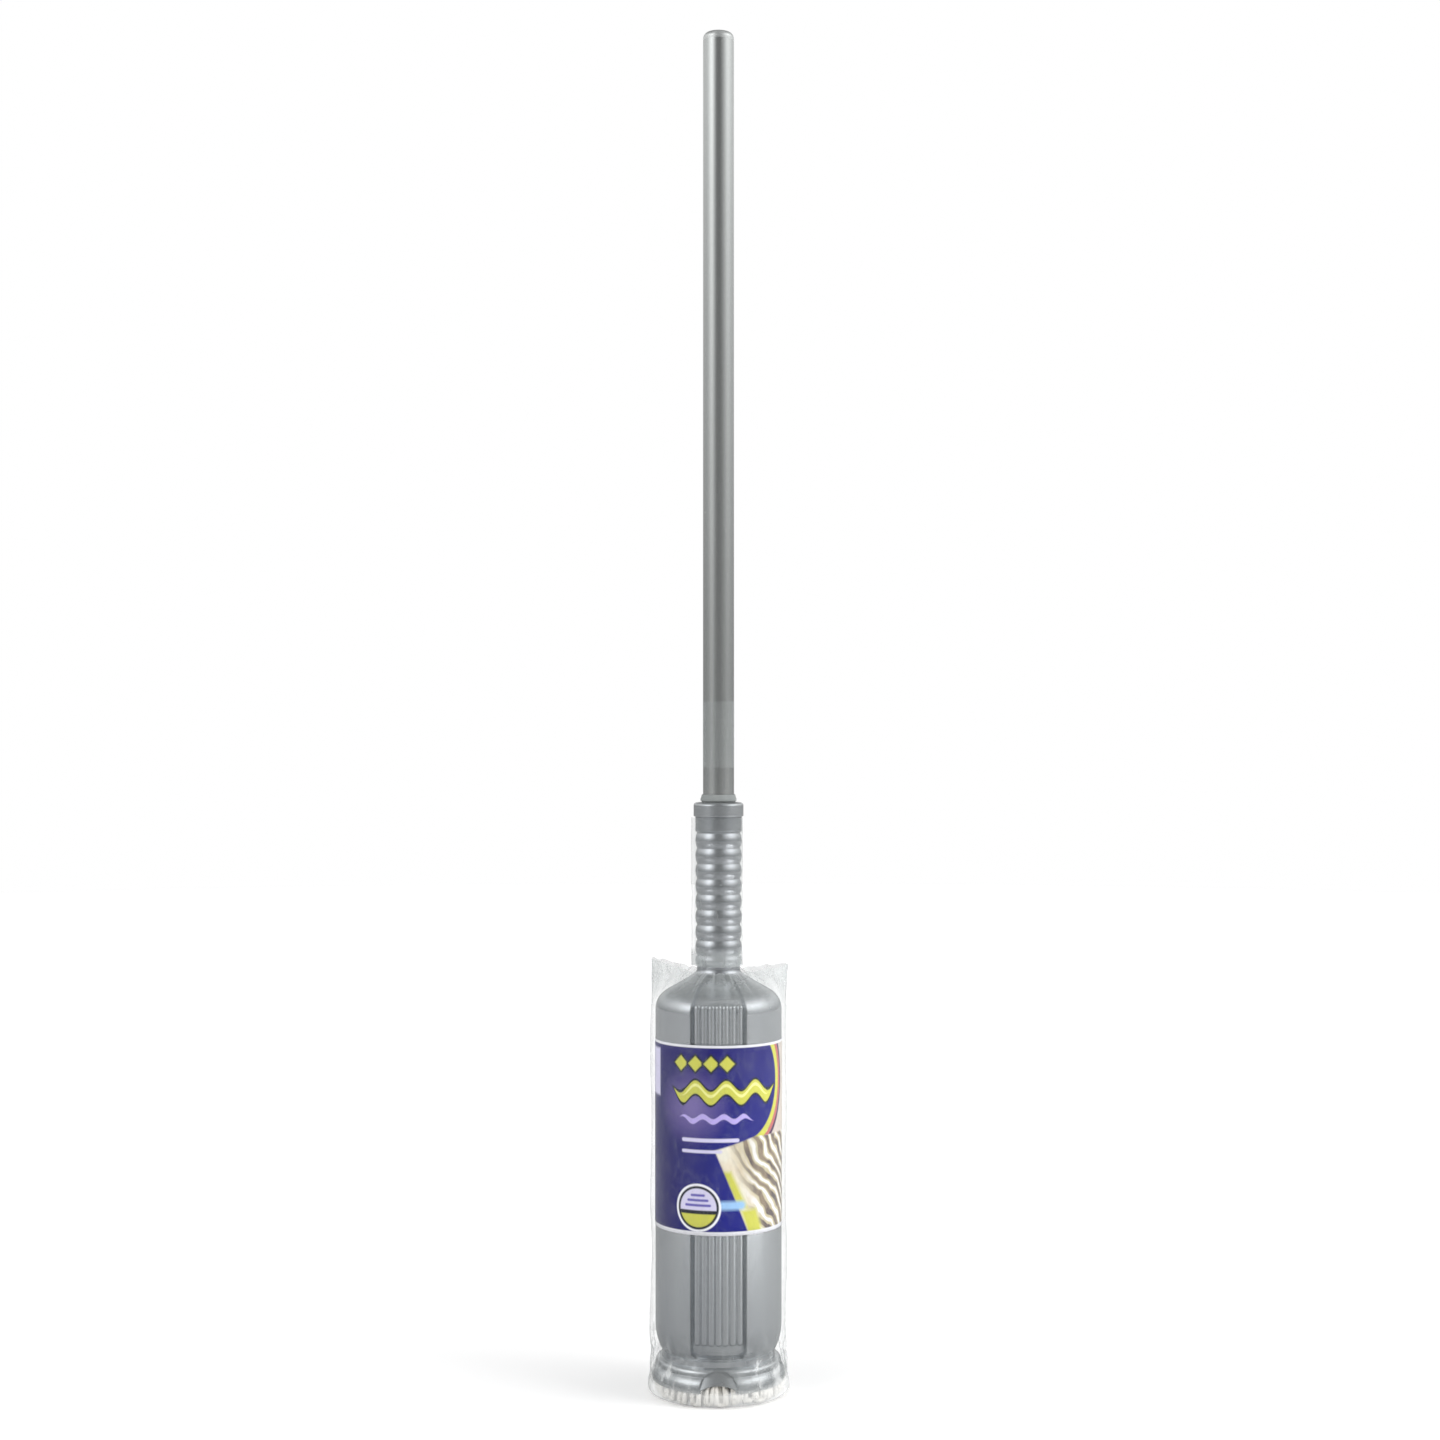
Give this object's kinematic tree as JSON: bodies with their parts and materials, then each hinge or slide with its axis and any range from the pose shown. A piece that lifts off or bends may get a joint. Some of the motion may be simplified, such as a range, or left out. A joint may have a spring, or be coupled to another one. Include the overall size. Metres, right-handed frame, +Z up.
{
  "type": "self-wringing mop",
  "caption": "Strand mop with a silver pole and a grey sliding twist-wring sleeve, pushed down over the mop head, with a printed band and clear film.",
  "frame": {"origin": "on the floor, under the pole's axis, at the flat foot of the strands", "axes": "+Z up the pole, -Y towards the front channel of the sleeve, +X to the right"},
  "size_m": [0.114, 0.114, 1.113],
  "materials": {
    "pole_paint": "glossy silver paint",
    "cap_silver": "silver moulded plastic",
    "grey_plastic": "glossy moulded grey",
    "bush_plastic": "plain moulded grey",
    "inner_plastic": "plain moulded",
    "plain_steel": "zinc plated",
    "black_rubber": "dull",
    "cotton": "undyed twisted yarn",
    "printed_band": "glossy print",
    "clear_film": "clear, wrinkled"
  },
  "bodies": {
    "pole": {"pole_tube": "pole_paint", "pole_cap": "cap_silver", "head_socket": "inner_plastic", "socket_rivet": "plain_steel", "stop_pin": "plain_steel", "stop_washer": "plain_steel", "mop_hub": "inner_plastic", "clamp_band": "plain_steel", "mop_strands": "cotton"},
    "slider": {"guide_bush": "bush_plastic", "friction_ring": "black_rubber"},
    "sleeve": {"wringer_sleeve": "grey_plastic", "neck_collar": "grey_plastic", "lower_bush": "bush_plastic", "rim_ring": "grey_plastic", "label_band": "printed_band", "wrap_film": "clear_film"}
  },
  "joints": [
    {"name": "sleeve_slide", "type": "slide", "parent": "pole", "child": "slider", "axis": [0, 0, 1], "range_m": [0, 0.34]},
    {"name": "sleeve_twist", "type": "hinge", "parent": "slider", "child": "sleeve", "pos_m": [0, 0, 0.4], "axis": [0, 0, 1], "continuous": true}
  ]
}
